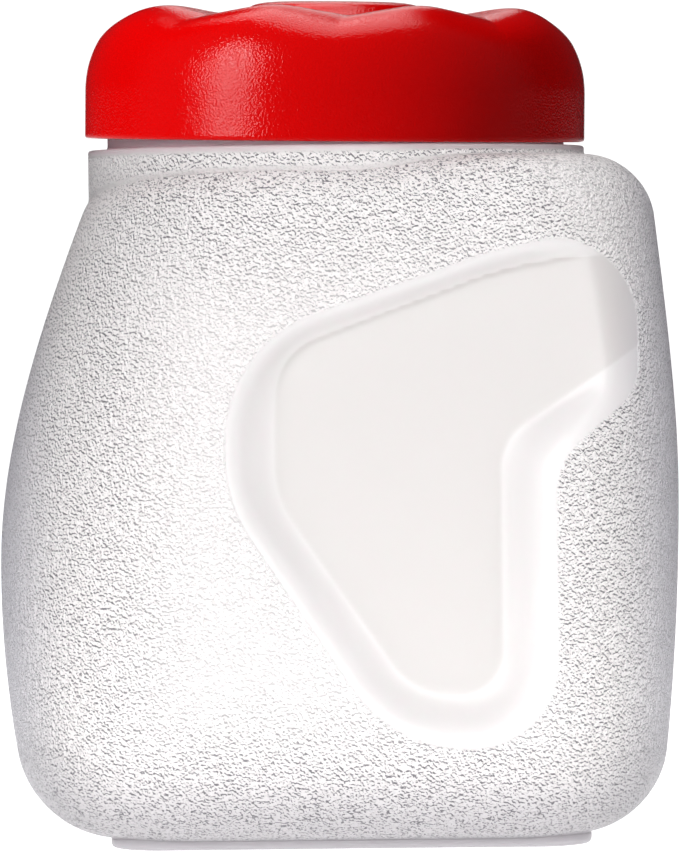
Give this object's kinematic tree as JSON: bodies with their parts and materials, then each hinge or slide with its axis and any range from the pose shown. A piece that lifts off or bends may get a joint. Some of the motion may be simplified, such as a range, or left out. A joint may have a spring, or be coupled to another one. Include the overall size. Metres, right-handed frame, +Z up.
{
  "type": "plastic coffee canister",
  "caption": "Frosted wide-mouth plastic food canister with a finger recess on its front and back for gripping, and a scalloped screw cap that sits slightly askew.",
  "frame": {"origin": "centre of the foot, on the surface that it stands on, under the middle of the whole object", "axes": "+Z up; -Y is the front that the picture shows; +X is the gripping side, where the wall is nearly upright and the finger recess opens"},
  "size_m": [0.1474, 0.1232, 0.1841],
  "materials": {
    "frosted_jar": "milky translucent polyethylene with a moulded leather grain, smooth and satin in the finger recess, on the neck and on the foot",
    "red_cap": "bright red satin polypropylene with a very fine spark grain"
  },
  "bodies": {
    "root": {"jar": "frosted_jar", "lid": "red_cap"}
  },
  "joints": []
}
